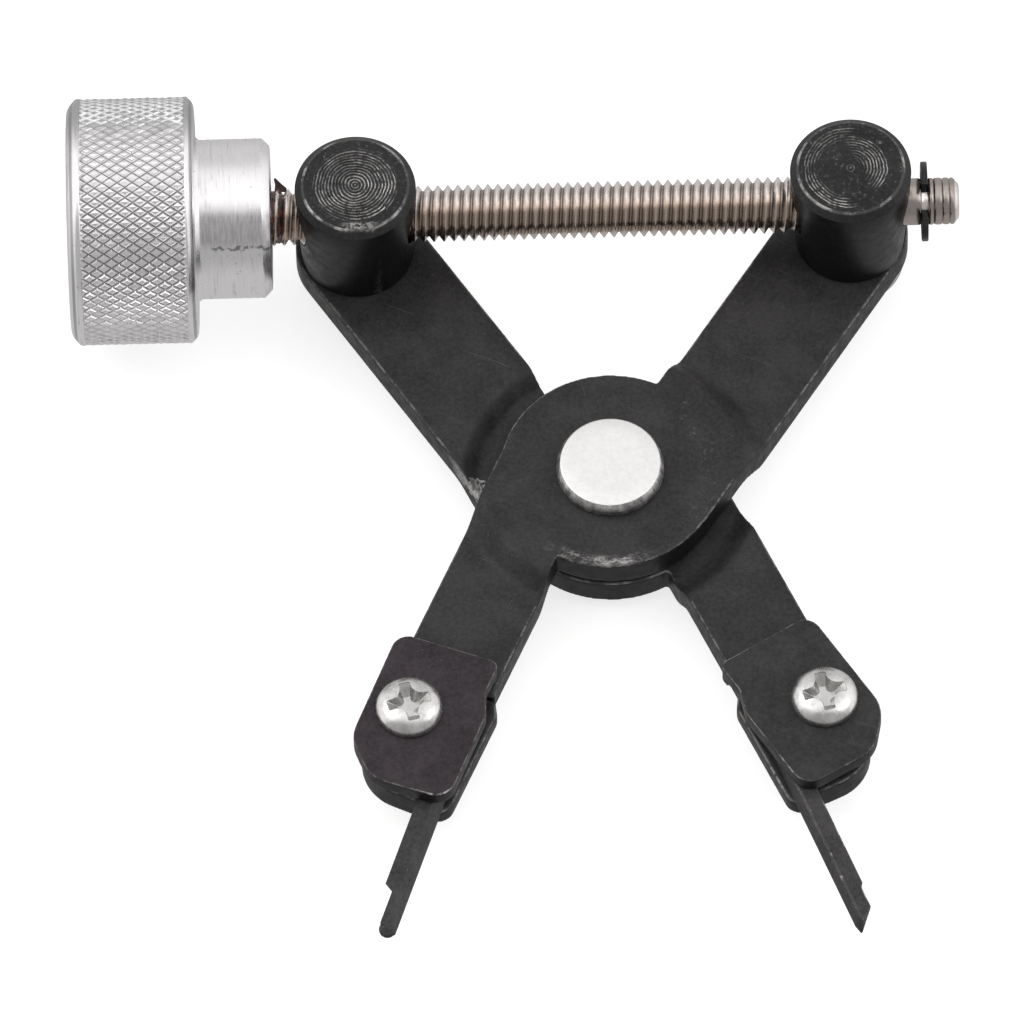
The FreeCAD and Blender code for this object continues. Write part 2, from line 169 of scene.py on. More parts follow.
def make_sky():
    """World that brightens from the near side to the far side and is even below the horizon."""
    world = bpy.data.worlds.new("studio")
    bpy.context.scene.world = world
    world.use_nodes = True
    nodes, links = world.node_tree.nodes, world.node_tree.links
    split = nodes.new("ShaderNodeSeparateXYZ")
    links.new(nodes.new("ShaderNodeTexCoord").outputs["Generated"], split.inputs[0])
    span = map_range(nodes, -1, 1)
    links.new(split.outputs["Y"], span.inputs["Value"])
    ramp = nodes.new("ShaderNodeValToRGB")
    while len(ramp.color_ramp.elements) < len(SKY_STOPS):
        ramp.color_ramp.elements.new(0.5)
    for element, (position, value) in zip(ramp.color_ramp.elements, SKY_STOPS):
        element.position = position
        element.color = shade_of(value)
    links.new(span.outputs[0], ramp.inputs[0])
    above = map_range(nodes, -0.4, -0.05)
    links.new(split.outputs["Z"], above.inputs["Value"])
    sky = nodes.new("ShaderNodeMix")
    sky.data_type = "RGBA"
    sky.inputs[6].default_value = shade_of(BELOW_HORIZON)
    links.new(above.outputs[0], sky.inputs[0])
    links.new(ramp.outputs[0], sky.inputs[7])
    links.new(sky.outputs[2], nodes["Background"].inputs["Color"])


def make_light():
    make_sky()
    for name, place, size, power in SOFTBOXES:
        data = bpy.data.lights.new(name, "AREA")
        data.size = size
        data.energy = power
        light = bpy.data.objects.new(name, data)
        light.location = place
        light.rotation_mode = "QUATERNION"
        light.rotation_quaternion = Vector(place).to_track_quat("Z", "Y")
        bpy.context.collection.objects.link(light)
    bpy.context.scene.view_settings.view_transform = "Standard"
    bpy.context.scene.view_settings.look = "None"


# ---- node materials

SPECK_GREY, FLECK_GREY = (0.10, 0.098, 0.095), (0.09, 0.088, 0.085)
# the second grey lightens rounded edges, partly as rubbed metal and partly as painted highlight
SCRATCH_GREY, RUBBED_AND_HIGHLIGHT_GREY = (0.16, 0.155, 0.15), (0.27, 0.262, 0.255)
# painted shade for the walls of black steel
PAINTED_WALL_SHADE = (0.002, 0.002, 0.002)
BARE_STEEL = (0.52, 0.515, 0.51)


def is_socket(value):
    return hasattr(value, "is_output")


class Paint:
    """Small helper that wires one procedural material from object coordinates."""

    def __init__(self, name, metallic=0.0, roughness=0.4, specular=0.5):
        self.material = bpy.data.materials.new(name)
        self.material.use_nodes = True
        self.nodes = self.material.node_tree.nodes
        self.links = self.material.node_tree.links
        self.shader = self.nodes["Principled BSDF"]
        self.shader.inputs["Metallic"].default_value = metallic
        self.shader.inputs["Roughness"].default_value = roughness
        self.shader.inputs["Specular IOR Level"].default_value = specular
        self.coords = self.nodes.new("ShaderNodeTexCoord").outputs["Object"]
        self.height = None

    def feed(self, value, socket):
        """Links a socket, or sets a plain number, on a shader or node input."""
        if is_socket(value):
            self.links.new(value, socket)
        else:
            socket.default_value = value

    def scaled(self, scale, turn=(0, 0, 0)):
        node = self.nodes.new("ShaderNodeMapping")
        self.links.new(self.coords, node.inputs["Vector"])
        node.inputs["Scale"].default_value = scale
        node.inputs["Rotation"].default_value = turn
        return node.outputs[0]

    def noise(self, size_mm, detail=3.0, rough=0.55, coords=None):
        """Noise whose grain is about size_mm wide."""
        node = self.nodes.new("ShaderNodeTexNoise")
        self.links.new(coords if coords is not None else self.coords, node.inputs["Vector"])
        node.inputs["Scale"].default_value = 1 / (size_mm * MM)
        node.inputs["Detail"].default_value = detail
        node.inputs["Roughness"].default_value = rough
        return node.outputs["Fac"]

    def cells(self, size_mm):
        """Distance to the nearest of scattered points about size_mm apart."""
        node = self.nodes.new("ShaderNodeTexVoronoi")
        self.links.new(self.coords, node.inputs["Vector"])
        node.inputs["Scale"].default_value = 1 / (size_mm * MM)
        return node.outputs["Distance"]

    def ramp(self, value, low, high, out_low=0.0, out_high=1.0):
        """Maps a value's low..high range smoothly to out_low..out_high, held at both ends."""
        node = map_range(self.nodes, low, high)
        node.interpolation_type = "SMOOTHSTEP"
        self.links.new(value, node.inputs["Value"])
        node.inputs["To Min"].default_value = out_low
        node.inputs["To Max"].default_value = out_high
        return node.outputs[0]

    def below(self, value, low, high, most=1.0):
        """Most under low, falling to 0 at high."""
        return self.ramp(value, low, high, most, 0.0)

    def band(self, value, low, high, soft):
        """1 where a value lies between low and high, with soft sides."""
        rising = self.ramp(value, low - soft, low + soft)
        return self.product(rising, self.below(value, high - soft, high + soft))

    def math(self, operation, first, second=0.0):
        node = self.nodes.new("ShaderNodeMath")
        node.operation = operation
        self.feed(first, node.inputs[0])
        self.feed(second, node.inputs[1])
        return node.outputs[0]

    def product(self, first, *others):
        for other in others:
            first = self.math("MULTIPLY", first, other)
        return first

    def any_of(self, first, *others):
        """The largest of some masks."""
        for other in others:
            first = self.math("MAXIMUM", first, other)
        return first

    def mix(self, factor, first, second):
        """Colour mix; first and second are (r, g, b) or sockets."""
        node = self.nodes.new("ShaderNodeMix")
        node.data_type = "RGBA"
        self.feed(factor, node.inputs[0])
        for value, socket in ((first, node.inputs[6]), (second, node.inputs[7])):
            self.feed(value if is_socket(value) else (*value, 1), socket)
        return node.outputs[2]

    def past(self, axis, origin=0.0):
        """How far, in mm, the point lies past an origin along x, y or z."""
        split = self.nodes.new("ShaderNodeSeparateXYZ")
        self.links.new(self.coords, split.inputs[0])
        away = self.math("SUBTRACT", split.outputs["xyz".index(axis)], origin)
        return self.product(away, 1 / MM)

    def radius_from(self, centre, axes):
        """Distance from a centre, in mm, measured along the named axes only."""
        squares = [self.math("POWER", self.math("ABSOLUTE", self.past(axis, centre["xyz".index(axis)])), 2.0)
                   for axis in axes]
        total = squares[0]
        for square in squares[1:]:
            total = self.math("ADD", total, square)
        return self.math("SQRT", total)

    def spot(self, place_mm, size_mm, soft_mm=0.15):
        """1 inside a ragged blob of that radius round a point, 0 outside."""
        away = self.radius_from([part * MM for part in place_mm], "xyz")
        ragged = self.math("ADD", away, self.ramp(self.noise(0.35), 0.3, 0.7, -0.3, 0.3))
        return self.below(ragged, size_mm - soft_mm, size_mm + soft_mm)

    def colour(self, value):
        self.feed(value, self.shader.inputs["Base Color"])

    def rough(self, value):
        self.feed(value, self.shader.inputs["Roughness"])

    def bump(self, value, depth_mm, strength):
        """Adds relief on top of what earlier calls gave."""
        node = self.nodes.new("ShaderNodeBump")
        node.inputs["Strength"].default_value = strength
        node.inputs["Distance"].default_value = depth_mm * MM
        self.links.new(value, node.inputs["Height"])
        if self.height is not None:
            self.links.new(self.height, node.inputs["Normal"])
        self.height = node.outputs[0]
        self.links.new(self.height, self.shader.inputs["Normal"])


def speckle(paint, size_mm, share):
    """Sparse small specks, as 0..1; share is roughly how much of the surface they take."""
    dots = paint.below(paint.cells(size_mm), share * 0.7, share)
    return paint.product(dots, paint.ramp(paint.noise(size_mm * 3.1), 0.52, 0.62))


def scratches(paint, turn_deg, length_mm=7.0, width_mm=0.09, level=0.74):
    """Fine straight scratches along one direction in plan, as 0..1."""
    turned = paint.scaled((1, 1, 1), (0, 0, math.radians(turn_deg)))
    stretch = paint.nodes.new("ShaderNodeMapping")
    paint.links.new(turned, stretch.inputs["Vector"])
    stretch.inputs["Scale"].default_value = (1 / length_mm, 1 / width_mm, 1 / length_mm)
    lines = paint.noise(1.0, 1.0, 0.4, stretch.outputs[0])
    return paint.ramp(lines, level, level + 0.05)


def scratched(paint):
    """Scratches in three directions, here and there."""
    lines = paint.any_of(
        scratches(paint, 24), scratches(paint, -37, 5.0, 0.07, 0.75), scratches(paint, 81, 4.0, 0.08, 0.76))
    return paint.product(lines, paint.ramp(paint.noise(2.7, 2.0), 0.48, 0.6))


def tilt(paint):
    """How far up the surface faces, from -1 to 1."""
    facing = paint.nodes.new("ShaderNodeSeparateXYZ")
    paint.links.new(paint.nodes.new("ShaderNodeNewGeometry").outputs["Normal"], facing.inputs[0])
    return facing.outputs[2]


def top_edge(paint):
    """1 on the rounded edge between a level face and its wall, 0 on both and on an arm's joggle."""
    away = paint.radius_from((0, 0, 0), "xy")
    joggle = paint.band(away, EASED_JOGGLE[0] - 0.15, EASED_JOGGLE[1] + 0.15, 0.1)
    rounded = paint.band(paint.math("ABSOLUTE", tilt(paint)), 0.42, 0.93, 0.05)
    return paint.product(rounded, paint.below(joggle, 0, 1))


def oxide_tone(paint, base, warm):
    """Mottled black with specks and flecks; warm turns it towards plum."""
    dark = [part * base for part in (0.62 + 0.12 * warm, 0.60 - 0.06 * warm, 0.61 + 0.08 * warm)]
    light = [part * base for part in (1.55 + 0.25 * warm, 1.50 - 0.1 * warm, 1.50 + 0.15 * warm)]
    grain = paint.ramp(paint.noise(0.3, 4.0, 0.75), 0.32, 0.68, 0.0, 0.6)
    blotch = paint.ramp(paint.noise(3.4, 5.0, 0.62), 0.34, 0.68, 0.0, 0.6)
    tone = paint.mix(paint.math("ADD", grain, blotch), dark, light)
    specks = paint.product(speckle(paint, 0.33, 0.22), paint.ramp(paint.noise(4.1, 2.0), 0.45, 0.62), 0.4)
    tone = paint.mix(specks, tone, SPECK_GREY)
    return paint.mix(paint.ramp(paint.noise(0.2, 3.0, 0.8), 0.655, 0.70, 0.0, 0.45), tone, FLECK_GREY)


def black_steel(name, base, worn=None, edge=0.0, rough=0.42, warm=0.0, rubbed_and_highlight=0.0):
    """Black oxide on steel: satin, mottled, scratched, with painted shade darkening its walls.

    worn is a function that says where it is worn to bare metal, edge is how much of the surface
    is scuffed bare, and the last argument is how light the rounded edges of the level faces are painted,
    partly as rubbed metal and partly as painted highlight.
    """
    paint = Paint(name, roughness=rough, specular=0.2)
    lines = scratched(paint)
    tone = paint.mix(paint.product(lines, 0.35), oxide_tone(paint, base, warm), SCRATCH_GREY)
    # painted shade: faces that turn away from up are darkened towards near-black
    tone = paint.mix(paint.below(tilt(paint), 0.1, 0.5, 0.8), tone, PAINTED_WALL_SHADE)
    # rounded top and bottom edges painted lighter: partly rubbed metal, partly painted highlight
    if rubbed_and_highlight:
        share = paint.ramp(paint.noise(1.0, 5.0, 0.75), 0.44, 0.60, 0.12 * rubbed_and_highlight, rubbed_and_highlight)
        tone = paint.mix(paint.product(top_edge(paint), share), tone, RUBBED_AND_HIGHLIGHT_GREY)
    bare = [worn(paint)] if worn else []
    if edge:
        bare.append(paint.ramp(paint.noise(1.6, 4.0, 0.65), 0.66 - edge * 0.3, 0.74 - edge * 0.2))
    if bare:
        shine = paint.any_of(*bare)
        tone = paint.mix(shine, tone, BARE_STEEL)
        paint.feed(paint.product(shine, 0.85), paint.shader.inputs["Metallic"])
    paint.colour(tone)
    paint.rough(paint.ramp(paint.noise(0.8, 4.0), 0.25, 0.75, rough - 0.08, rough + 0.1))
    paint.bump(paint.noise(0.16, 4.0, 0.65), 0.02, 0.5)
    paint.bump(paint.noise(1.3, 3.0), 0.05, 0.35)
    paint.bump(lines, -0.01, 0.4)
    return paint.material


def rim_wear(paint):
    """Rubbed edge of the hub disc, on its near side."""
    x, y, z = paint.past("x"), paint.past("y"), paint.past("z")
    rim = paint.product(
        paint.band(paint.radius_from((0, 0, 0), "xy"), 7.0, 7.75, 0.25), paint.below(y, -6.9, -5.2),
        paint.ramp(z, HUB_TOP - 0.33, HUB_TOP - 0.15), paint.band(x, -4.0, 1.8, 1.4))
    streaks = paint.noise(0.45, 6.0, 0.8, paint.scaled((0.5, 1.0, 1.0)))
    return paint.product(rim, paint.ramp(streaks, 0.42, 0.66, 0.0, 0.8))


def corner_wear(paint):
    """Bare corner on the left beside the hub, and the strip's edge next to it."""
    corner = paint.spot((-9.45, 0.05, 3.7), 0.8)
    strip = paint.spot((-10.7, 1.1, 4.6), 1.5, 0.4)
    inwards = paint.math("ADD", paint.product(paint.past("x"), 0.811), paint.product(paint.past("y"), 0.585))
    strip = paint.product(strip, paint.below(inwards, -7.85, -7.65))
    patches = paint.ramp(paint.noise(0.3, 4.0, 0.7), 0.35, 0.5, 0.25, 0.85)
    return paint.product(paint.any_of(corner, strip), patches)


def arm_wear(paint):
    """Rubbed places of both arms, round the hub and on the ledge under the right clamp."""
    side = paint.product(
        paint.band(paint.radius_from((0, 0, 0), "xy"), 6.3, 7.6, 0.4), paint.ramp(paint.past("x"), 4.0, 5.8),
        paint.ramp(paint.noise(0.45, 6.0, 0.8), 0.54, 0.7, 0.0, 0.2))
    ledge = paint.product(
        paint.spot((10.6, -23.4, 4.7), 1.5, 0.8), top_edge(paint),
        paint.ramp(paint.noise(0.4, 5.0, 0.8), 0.42, 0.6, 0.0, 0.5))
    return paint.any_of(rim_wear(paint), side, corner_wear(paint), ledge)


def nose_wear(place_mm, size_mm, most):
    """Bare metal on the rounded top edge of a clamp plate, round one place."""
    def wear(paint):
        patch = paint.ramp(paint.noise(0.5, 5.0, 0.75), 0.40, 0.56, 0.0, most)
        rounded = paint.band(tilt(paint), 0.22, 0.965, 0.03)
        return paint.product(paint.spot(place_mm, size_mm, 0.3), patch, rounded)
    return wear


def ring_lines(paint, away):
    """Bright crests of the turned rings on a post's face."""
    wobble = paint.ramp(paint.noise(1.4, 2.0), 0.3, 0.7, -0.05, 0.05)
    turns = paint.product(paint.math("ADD", away, wobble), 2 * math.pi / POST_RING_PITCH)
    return paint.ramp(paint.math("SINE", turns), 0.1, 0.85)


def ring_sectors(paint, away, x, y):
    """Where the plain post's face shows rings: arcs on three sides, and the centre nib."""
    right = paint.ramp(paint.math("ADD", x, paint.product(y, 0.5)), 0.4, 1.9)
    right = paint.product(right, paint.band(away, 0.7, 2.6, 0.1))
    left = paint.below(paint.math("ADD", x, y), -3.6, -2.4)
    far = paint.ramp(paint.math("SUBTRACT", y, x), 2.6, 3.2)
    outer = paint.product(paint.any_of(left, far), paint.band(away, 2.35, 3.3, 0.1))
    return paint.any_of(right, outer, paint.below(away, 0.12, 0.4))


def post_scuffs(paint, centre, x, y):
    """Scuffs on the threaded post: the near edge of its face, and low on its left side."""
    scuffed = paint.ramp(paint.noise(0.3, 5.0, 0.75), 0.4, 0.6, 0.0, 0.6)
    front = paint.product(paint.band(x, -0.9, 1.3, 0.5), paint.band(y, -3.72, -3.05, 0.12), scuffed)
    side = paint.spot((centre.x / MM - 3.9, centre.y / MM - 0.9, 8.0), 0.6)
    return paint.any_of(front, paint.product(side, scuffed, 0.8))


def post_wear(centre, top, ringed):
    """Rings, rim and dust on one post's face, the rings painted lighter towards the right near side as
    painted highlight and the rim partly worn, partly painted highlight; ringed is the threaded post, turned
    all over.
    """
    def wear(paint):
        away = paint.radius_from(centre, "xy")
        x, y, z = paint.past("x", centre.x), paint.past("y", centre.y), paint.past("z")
        face = paint.ramp(z, top - 0.12, top - 0.05)
        patchy = paint.ramp(paint.noise(0.55, 6.0, 0.8), 0.40, 0.6, 0.05, 1.0)
        # painted highlight: rings lighter towards the right near side, where the light falls
        lit = paint.ramp(paint.math("SUBTRACT", x, y), -3.0, 3.0, 0.55, 1.0)
        inside = paint.below(away, 2.85, 3.0) if ringed else ring_sectors(paint, away, x, y)
        rings = paint.product(ring_lines(paint, away), patchy, lit, inside, face)
        # rim band on the rounded top edge: partly worn edge, partly painted highlight
        rim = paint.product(
            paint.band(away, 3.62, 3.80, 0.04), paint.ramp(z, top - 0.2, top - 0.1),
            paint.ramp(paint.noise(2.3, 4.0, 0.7), 0.46, 0.62, 0.08, 0.8))
        dust = paint.product(face, paint.ramp(paint.noise(0.3, 6.0, 0.85), 0.56, 0.72, 0.0, 0.5))
        worn = [rings, rim, dust]
        if ringed:
            worn.append(post_scuffs(paint, centre, x, y))
        return paint.any_of(*worn)
    return wear


def washer_steel():
    """Plain bright steel with faint tarnish and fine marks."""
    paint = Paint("washer_steel", metallic=1.0, roughness=0.35)
    tarnish = paint.ramp(paint.noise(1.7, 4.0, 0.6), 0.35, 0.75)
    tone = paint.mix(tarnish, (0.55, 0.54, 0.53), (0.4125, 0.405, 0.3975))
    tone = paint.mix(paint.product(speckle(paint, 0.4, 0.18), 0.3), tone, (0.2, 0.18, 0.17))
    paint.colour(tone)
    paint.rough(paint.ramp(paint.noise(0.5, 3.0), 0.3, 0.7, 0.29, 0.43))
    paint.bump(paint.noise(0.25, 3.0, 0.6), 0.01, 0.3)
    return paint.material


def rivet_metal():
    """Bright flat top, and a grey streaky rim with a dark line of painted shade on its rounded edge."""
    paint = Paint("rivet_bright", metallic=1.0, roughness=0.4)
    blotch = paint.ramp(paint.noise(0.35, 4.0, 0.7), 0.35, 0.7)
    top = paint.mix(blotch, (0.86, 0.86, 0.855), (0.79, 0.79, 0.785))
    streaks = paint.noise(0.5, 5.0, 0.75, paint.scaled((1.0, 1.0, 0.6)))
    rim = paint.mix(paint.ramp(streaks, 0.38, 0.62), (0.50, 0.50, 0.50), (0.92, 0.92, 0.91))
    tone = paint.mix(paint.ramp(tilt(paint), 0.80, 0.97), rim, top)
    # painted shade: a dark line on the rounded edge of the head
    outline = paint.product(paint.band(tilt(paint), 0.55, 0.80, 0.05), 0.45)
    paint.colour(paint.mix(outline, tone, (0.22, 0.22, 0.22)))
    paint.rough(paint.ramp(streaks, 0.3, 0.7, 0.32, 0.45))
    paint.bump(paint.noise(0.3, 4.0, 0.7), 0.012, 0.3)
    return paint.material


def screw_zinc(node):
    """Zinc plate on a clamp screw, with painted shade making it grey inside its cross recess."""
    centre, top = centre_of(node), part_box(node)[1].z / MM
    paint = Paint("screw_zinc_" + node.split("_")[0], metallic=1.0, roughness=0.25)
    blotch = paint.ramp(paint.noise(0.9, 4.0, 0.65), 0.35, 0.7)
    tone = paint.mix(blotch, (0.79, 0.79, 0.78), (0.56, 0.56, 0.555))
    away = paint.radius_from(centre, "xy")
    depth = paint.math("SUBTRACT", top, paint.past("z"))
    dome = paint.math("ADD", paint.product(paint.math("POWER", away, 2.0), 0.13), 0.06)
    # painted shade: grey deep in the cross recess
    hollow_shade = paint.ramp(paint.math("SUBTRACT", depth, dome), 0.0, 0.35, 0.0, 0.45)
    tone = paint.mix(paint.product(hollow_shade, paint.below(away, 1.55, 1.65)), tone, (0.45, 0.45, 0.44))
    stain = paint.ramp(paint.noise(0.6, 3.0, 0.6), 0.6, 0.74, 0.0, 0.3)
    paint.colour(paint.mix(stain, tone, (0.35, 0.35, 0.34)))
    paint.rough(paint.ramp(paint.noise(0.4, 3.0), 0.3, 0.7, 0.2, 0.34))
    paint.bump(paint.noise(0.5, 3.0, 0.6), 0.03, 0.3)
    return paint.material


def turned_metal(name, base, rough, pitch_mm, depth_mm, grooves, groove_shade, marks):
    """Metal turned about the thumb screw's axis, with rough tool marks round it.

    grooves is (bottom, top, lowest, most), with radii in mm: what lies under top is painted darker
    towards the colour after grooves, as painted shade in the grooves, by up to most towards bottom,
    and nothing under lowest is touched. marks is a function that adds what only one piece has.
    """
    paint = Paint(name, metallic=1.0, roughness=rough)
    rings = paint.noise(pitch_mm, 2.0, 0.5, paint.scaled((1.0, 0.05, 0.05)))
    broken = paint.noise(0.9, 4.0, 0.7, paint.scaled((1.6, 0.5, 0.5)))
    dark = paint.product(paint.ramp(rings, 0.55, 0.68), paint.ramp(broken, 0.42, 0.6), 0.5)
    tone = paint.mix(dark, base, [part * 0.62 for part in base])
    tone = paint.mix(paint.product(speckle(paint, 0.5, 0.2), 0.35), tone, (0.25, 0.22, 0.2))
    tone = marks(paint, tone)
    bottom, top, lowest, most = grooves
    away = paint.radius_from(SCREW_AXIS, "yz")
    # painted shade: darker in the knurl grooves and thread roots
    hollow_shade = paint.product(paint.below(away, bottom, top, most), paint.ramp(away, lowest - 0.05, lowest + 0.05))
    paint.colour(paint.mix(hollow_shade, tone, groove_shade))
    paint.rough(paint.ramp(broken, 0.3, 0.7, rough - 0.05, rough + 0.1))
    paint.bump(rings, depth_mm, 0.5)
    paint.bump(paint.noise(0.1, 2.0), 0.006, 0.3)
    return paint.material


def screw_marks(paint, tone):
    """Browner tone on the near side of the threaded length."""
    near = paint.below(paint.past("y", SCREW_AXIS.y), -0.9, 0.2, 0.8)
    # the near side of the threaded length turns browner
    browned_near_side = paint.product(near, paint.below(paint.past("x"), THREAD_END + 0.05, THREAD_END + 0.45))
    return paint.mix(browned_near_side, tone, (0.60, 0.51, 0.445))


def knob_marks(paint, tone):
    """Painted shade on the far side of the grip, and a rough dark tool line along the hub with a painted grey
    reflection band above it.
    """
    x, y, z = paint.past("x"), paint.past("y", SCREW_AXIS.y), paint.past("z", SCREW_AXIS.z)
    grip = paint.below(x, KNOB_SHOULDER, KNOB_SHOULDER + 0.3)
    # painted shade: the far side of the grip is greyed down
    tone = paint.mix(paint.product(paint.ramp(y, 0.2, 4.2, 0.0, 0.75), grip), tone, (0.42, 0.42, 0.425))
    hub = paint.product(paint.ramp(x, KNOB_SHOULDER + 0.2, KNOB_SHOULDER + 0.5), paint.ramp(z, 0.0, 0.5))
    around = paint.math("ADD", paint.product(y, 0.866), paint.product(z, 0.5))
    fine = paint.noise(0.12, 3.0, 0.6, paint.scaled((1.0, 0.12, 0.12)))
    # painted reflection: a grey band round the hub above the tool line
    strip = paint.product(paint.band(around, -2.0, 0.3, 0.35), paint.ramp(fine, 0.35, 0.65, 0.35, 0.8), hub)
    tone = paint.mix(strip, tone, (0.50, 0.485, 0.51))
    dashes = paint.ramp(paint.noise(0.3, 4.0, 0.75, paint.scaled((1.0, 0.5, 0.5))), 0.40, 0.52, 0.0, 0.7)
    ragged = paint.math("ADD", around, paint.ramp(paint.noise(0.5), 0.3, 0.7, -0.12, 0.12))
    start = paint.ramp(x, KNOB_SHOULDER + 0.9, KNOB_SHOULDER + 1.3)
    line = paint.product(paint.band(ragged, -2.28, -2.08, 0.07), dashes, start, hub)
    return paint.mix(line, tone, (0.07, 0.07, 0.075))


def sealant_material():
    """Glossy dark red, mottled."""
    paint = Paint("sealant_red", roughness=0.28)
    blotch = paint.ramp(paint.noise(0.45, 4.0, 0.6), 0.4, 0.66)
    paint.colour(paint.mix(blotch, (0.012, 0.003, 0.003), (0.16, 0.014, 0.010)))
    paint.shader.inputs["Coat Weight"].default_value = 0.4
    paint.bump(paint.noise(0.2, 3.0), 0.05, 0.6)
    return paint.material


# ---- mesh helpers

def link(name, mesh):
    piece = bpy.data.objects.new(name, mesh)
    bpy.context.collection.objects.link(piece)
    return piece


def to_mesh(bm, name, sharp_deg):
    """Mesh with smooth shading, but sharp where faces meet at more than sharp_deg."""
    mesh = bpy.data.meshes.new(name)
    bm.to_mesh(mesh)
    bm.free()
    mesh.shade_smooth()
    mesh.set_sharp_from_angle(angle=math.radians(sharp_deg))
    return mesh


def finish_mesh(bm, name, sharp_deg=32.0):
    bmesh.ops.remove_doubles(bm, verts=bm.verts, dist=1e-7)
    bmesh.ops.recalc_face_normals(bm, faces=bm.faces)
    return to_mesh(bm, name, sharp_deg)


def wall(bm, first, second, closed=True):
    """Band of faces between two rows of as many points."""
    for k in range(len(first) if closed else len(first) - 1):
        after = (k + 1) % len(first)
        bm.faces.new((first[k], first[after], second[after], second[k]))


def trim(bm, low, high):
    """Cuts off what lies outside two x places in mm."""
    for x, direction in ((low, -1), (high, 1)):
        everything = bm.verts[:] + bm.edges[:] + bm.faces[:]
        bmesh.ops.bisect_plane(
            bm, geom=everything, plane_co=(x * MM, 0, 0), plane_no=(direction, 0, 0), clear_outer=True)


def polar(angle, radius, height):
    """Point in metres from sizes in mm."""
    return Vector((math.cos(angle) * radius, math.sin(angle) * radius, height)) * MM


def lathe(bm, profile, matrix, segments):
    """Turns (radius, height) points, in mm, about the local Z axis of a matrix."""
    rings = []
    for radius, height in profile:
        if radius < 1e-6:
            rings.append([bm.verts.new(matrix @ Vector((0, 0, height * MM)))])
            continue
        turns = [2 * math.pi * step / segments for step in range(segments)]
        rings.append([bm.verts.new(matrix @ polar(angle, radius, height)) for angle in turns])
    for below, above in zip(rings, rings[1:]):
        if len(below) == len(above):
            wall(bm, below, above)
            continue
        for step in range(segments):
            after = (step + 1) % segments
            if len(below) == 1:
                bm.faces.new((below[0], above[step], above[after]))
            else:
                bm.faces.new((below[step], below[after], above[0]))


def upright(centre):
    return Matrix.Translation(Vector((centre.x, centre.y, 0)))


def along_screw():
    """Local Z runs along the thumb screw, local X points up."""
    turn = Matrix(((0, 0, 1), (0, -1, 0), (1, 0, 0)))
    return Matrix.Translation(SCREW_AXIS) @ turn.to_4x4()


def raised(points, height):
    """(radius, rise) points as (radius, height) points above or below one level."""
    return [(radius, height + rise) for radius, rise in points]


def rounded_profile(points, rounds):
    """Copy of (radius, height) points with some corners rounded; rounds maps index to radius."""
    steps = 4
    out = []
    for index, point in enumerate(points):
        reach = rounds.get(index, 0)
        if not reach:
            out.append(point)
            continue
        here = Vector(point)
        before = Vector(points[index - 1]) - here
        after = Vector(points[index + 1]) - here
        reach = min(reach, before.length / 2.01, after.length / 2.01)
        start, end = here + before.normalized() * reach, here + after.normalized() * reach
        for step in range(steps + 1):
            t = step / steps
            spot = start * (1 - t) ** 2 + here * 2 * t * (1 - t) + end * t ** 2
            out.append((spot.x, spot.y))
    return out


def applied(piece):
    """Makes what the modifiers give the piece's own mesh."""
    graph = bpy.context.evaluated_depsgraph_get()
    mesh = bpy.data.meshes.new_from_object(piece.evaluated_get(graph))
    piece.modifiers.clear()
    piece.data = mesh


def carve(piece, cutters):
    """Cuts cutter meshes out of a piece and keeps the result as its mesh."""
    for cutter in cutters:
        tool = link("cutter", cutter)
        modifier = piece.modifiers.new("cut", "BOOLEAN")
        modifier.operation = "DIFFERENCE"
        modifier.solver = "EXACT"
        modifier.object = tool
        applied(piece)
        bpy.data.objects.remove(tool)
    piece.data.shade_smooth()
    piece.data.set_sharp_from_angle(angle=math.radians(32))


def drill(radius, start, end):
    """Cylinder along the screw axis between two x places in mm."""
    bm = bmesh.new()
    lathe(bm, [(0, start), (radius, start), (radius, end), (0, end)], along_screw(), 72)
    return finish_mesh(bm, "drill")


def drop_custom_normals(mesh):
    if "custom_normal" in mesh.attributes:
        mesh.attributes.remove(mesh.attributes["custom_normal"])


def add_weld(piece):
    weld = piece.modifiers.new("weld", "WELD")
    weld.merge_threshold = 1e-6


def dress(node, material, bevel_mm, edge_material=None):
    """Gives a CAD piece rounded edges and its materials."""
    piece = NODES[node]
    mesh = piece.data
    mesh.materials.clear()
    mesh.materials.append(material)
    if edge_material is not None:
        mesh.materials.append(edge_material)
    drop_custom_normals(mesh)
    mesh.polygons.foreach_set("material_index", [0] * len(mesh.polygons))
    add_weld(piece)
    flat = piece.modifiers.new("flat", "DECIMATE")
    flat.decimate_type = "DISSOLVE"
    flat.angle_limit = math.radians(0.5)
    bevel = piece.modifiers.new("round", "BEVEL")
    bevel.width = bevel_mm * MM
    bevel.segments = 2
    bevel.limit_method = "ANGLE"
    bevel.angle_limit = math.radians(30)
    if edge_material is not None:
        bevel.material = 1
    mesh.shade_smooth()
    normals = piece.modifiers.new("normals", "WEIGHTED_NORMAL")
    normals.weight = 80


def place_piece(piece, material, body, node):
    """Gives a finished piece its material, and puts it in the place of one CAD node on a body."""
    piece.data.materials.clear()
    piece.data.materials.append(material)
    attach(piece, body)
    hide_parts(node)


# ---- pressed plates

def eased(value, low, high):
    share = min(max((value - low) / (high - low), 0.0), 1.0)
    return share * share * share * (share * (6 * share - 15) + 10)


def soft_joggle(mesh, offset):
    """Eases the arm's pressed step, which the CAD makes as a plain cone."""
    start, end = JOGGLE
    for vertex in mesh.vertices:
        radius = math.hypot(vertex.co.x, vertex.co.y) / MM
        if EASED_JOGGLE[0] < radius < EASED_JOGGLE[1]:
            sharp = 1 - min(max((radius - start) / (end - start), 0.0), 1.0)
            vertex.co.z += offset * MM * (1 - eased(radius, *EASED_JOGGLE) - sharp)


